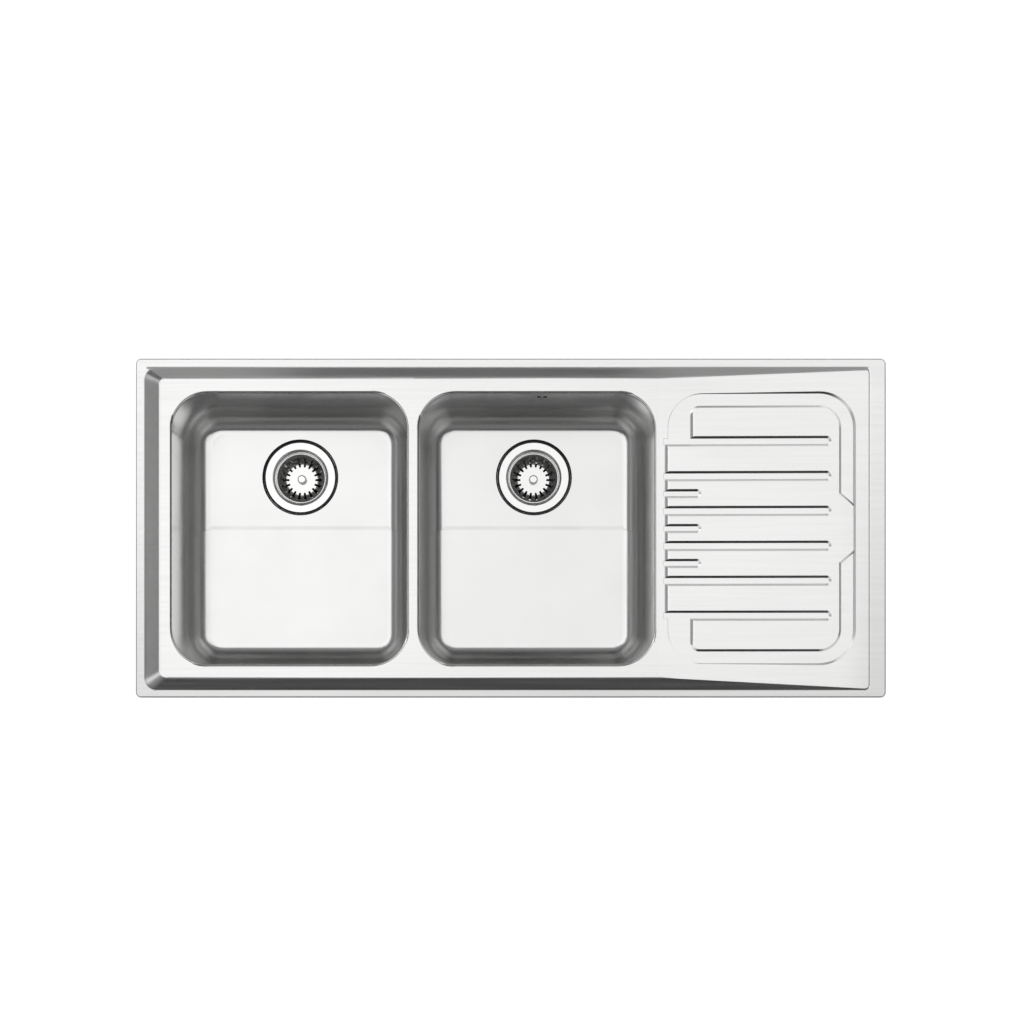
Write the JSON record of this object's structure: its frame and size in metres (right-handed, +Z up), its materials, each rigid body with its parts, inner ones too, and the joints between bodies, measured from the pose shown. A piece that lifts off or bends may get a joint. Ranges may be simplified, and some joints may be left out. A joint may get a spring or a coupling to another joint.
{
  "type": "inset kitchen sink",
  "caption": "Inset stainless kitchen sink with twin bowls, a grooved drainer, lift-out basket strainers and swing-claw fixing clips.",
  "frame": {"origin": "middle of the outline, on the worktop's surface that the rim's turned-down edge rests on", "axes": "+X along the sink towards the drainer, +Y towards the back, +Z up"},
  "size_m": [1.15, 0.52, 0.2835],
  "materials": {
    "stainless_sheet": "satin brushed stainless steel",
    "polished_stainless": "polished stainless steel",
    "zinc_plated_steel": "bright zinc plate",
    "black_rubber": "moulded black rubber",
    "sealing_foam": "closed-cell sealing foam",
    "damping_pad": "bituminous sound-damping pad",
    "waste_plastic": "moulded white polypropylene"
  },
  "bodies": {
    "sink": {"deck_panel": "stainless_sheet", "left_bowl": "stainless_sheet", "right_bowl": "stainless_sheet", "left_sound_pad": "damping_pad", "right_sound_pad": "damping_pad", "rim_seal": "sealing_foam", "clip_brackets": "zinc_plated_steel", "overflow_gasket": "black_rubber", "overflow_housing": "waste_plastic", "overflow_studs": "zinc_plated_steel", "overflow_nuts": "zinc_plated_steel", "left_blanking_cap": "waste_plastic", "left_strainer_cup": "polished_stainless", "left_flange_gasket": "black_rubber", "left_body_gasket": "black_rubber", "left_waste_body": "waste_plastic", "left_clamp_bolt": "polished_stainless", "right_strainer_cup": "polished_stainless", "right_flange_gasket": "black_rubber", "right_body_gasket": "black_rubber", "right_waste_body": "waste_plastic", "right_clamp_bolt": "polished_stainless"},
    "left_stopper": {"left_stopper_seal": "black_rubber"},
    "left_basket": {"left_basket": "polished_stainless", "left_basket_stem": "polished_stainless"},
    "right_stopper": {"right_stopper_seal": "black_rubber"},
    "right_basket": {"right_basket": "polished_stainless", "right_basket_stem": "polished_stainless"},
    "clip_screw_1": {"clip_screw_1": "zinc_plated_steel"},
    "clip_claw_1": {"clip_claw_1": "zinc_plated_steel"},
    "clip_screw_2": {"clip_screw_2": "zinc_plated_steel"},
    "clip_claw_2": {"clip_claw_2": "zinc_plated_steel"},
    "clip_screw_3": {"clip_screw_3": "zinc_plated_steel"},
    "clip_claw_3": {"clip_claw_3": "zinc_plated_steel"},
    "clip_screw_4": {"clip_screw_4": "zinc_plated_steel"},
    "clip_claw_4": {"clip_claw_4": "zinc_plated_steel"},
    "clip_screw_5": {"clip_screw_5": "zinc_plated_steel"},
    "clip_claw_5": {"clip_claw_5": "zinc_plated_steel"},
    "clip_screw_6": {"clip_screw_6": "zinc_plated_steel"},
    "clip_claw_6": {"clip_claw_6": "zinc_plated_steel"},
    "clip_screw_7": {"clip_screw_7": "zinc_plated_steel"},
    "clip_claw_7": {"clip_claw_7": "zinc_plated_steel"},
    "clip_screw_8": {"clip_screw_8": "zinc_plated_steel"},
    "clip_claw_8": {"clip_claw_8": "zinc_plated_steel"}
  },
  "joints": [
    {"name": "left_basket_lift", "type": "slide", "parent": "sink", "child": "left_stopper", "axis": [0, 0, 1], "range_m": [0, 0.24]},
    {"name": "left_basket_turn", "type": "hinge", "parent": "left_stopper", "child": "left_basket", "pos_m": [-0.34075, 0.101, -0.2], "axis": [0, 0, 1], "continuous": true},
    {"name": "right_basket_lift", "type": "slide", "parent": "sink", "child": "right_stopper", "axis": [0, 0, 1], "range_m": [0, 0.24]},
    {"name": "right_basket_turn", "type": "hinge", "parent": "right_stopper", "child": "right_basket", "pos_m": [0.04025, 0.101, -0.2], "axis": [0, 0, 1], "continuous": true},
    {"name": "clip_1_tighten", "type": "slide", "parent": "sink", "child": "clip_screw_1", "axis": [0, 0, 1], "range_m": [0, 0.02]},
    {"name": "clip_1_swing", "type": "hinge", "parent": "clip_screw_1", "child": "clip_claw_1", "pos_m": [-0.46075, -0.227, -0.065], "axis": [0, 0, 1], "range_deg": [0, 90]},
    {"name": "clip_2_tighten", "type": "slide", "parent": "sink", "child": "clip_screw_2", "axis": [0, 0, 1], "range_m": [0, 0.02]},
    {"name": "clip_2_swing", "type": "hinge", "parent": "clip_screw_2", "child": "clip_claw_2", "pos_m": [-0.15025, -0.227, -0.065], "axis": [0, 0, 1], "range_deg": [0, 90]},
    {"name": "clip_3_tighten", "type": "slide", "parent": "sink", "child": "clip_screw_3", "axis": [0, 0, 1], "range_m": [0, 0.02]},
    {"name": "clip_3_swing", "type": "hinge", "parent": "clip_screw_3", "child": "clip_claw_3", "pos_m": [0.37225, -0.227, -0.065], "axis": [0, 0, 1], "range_deg": [0, 90]},
    {"name": "clip_4_tighten", "type": "slide", "parent": "sink", "child": "clip_screw_4", "axis": [0, 0, 1], "range_m": [0, 0.02]},
    {"name": "clip_4_swing", "type": "hinge", "parent": "clip_screw_4", "child": "clip_claw_4", "pos_m": [-0.46075, 0.227, -0.065], "axis": [0, 0, 1], "range_deg": [0, 90]},
    {"name": "clip_5_tighten", "type": "slide", "parent": "sink", "child": "clip_screw_5", "axis": [0, 0, 1], "range_m": [0, 0.02]},
    {"name": "clip_5_swing", "type": "hinge", "parent": "clip_screw_5", "child": "clip_claw_5", "pos_m": [-0.15025, 0.227, -0.065], "axis": [0, 0, 1], "range_deg": [0, 90]},
    {"name": "clip_6_tighten", "type": "slide", "parent": "sink", "child": "clip_screw_6", "axis": [0, 0, 1], "range_m": [0, 0.02]},
    {"name": "clip_6_swing", "type": "hinge", "parent": "clip_screw_6", "child": "clip_claw_6", "pos_m": [0.37225, 0.227, -0.065], "axis": [0, 0, 1], "range_deg": [0, 90]},
    {"name": "clip_7_tighten", "type": "slide", "parent": "sink", "child": "clip_screw_7", "axis": [0, 0, 1], "range_m": [0, 0.02]},
    {"name": "clip_7_swing", "type": "hinge", "parent": "clip_screw_7", "child": "clip_claw_7", "pos_m": [-0.54, 0, -0.065], "axis": [0, 0, 1], "range_deg": [0, 90]},
    {"name": "clip_8_tighten", "type": "slide", "parent": "sink", "child": "clip_screw_8", "axis": [0, 0, 1], "range_m": [0, 0.02]},
    {"name": "clip_8_swing", "type": "hinge", "parent": "clip_screw_8", "child": "clip_claw_8", "pos_m": [0.539, 0, -0.065], "axis": [0, 0, 1], "range_deg": [0, 90]}
  ]
}
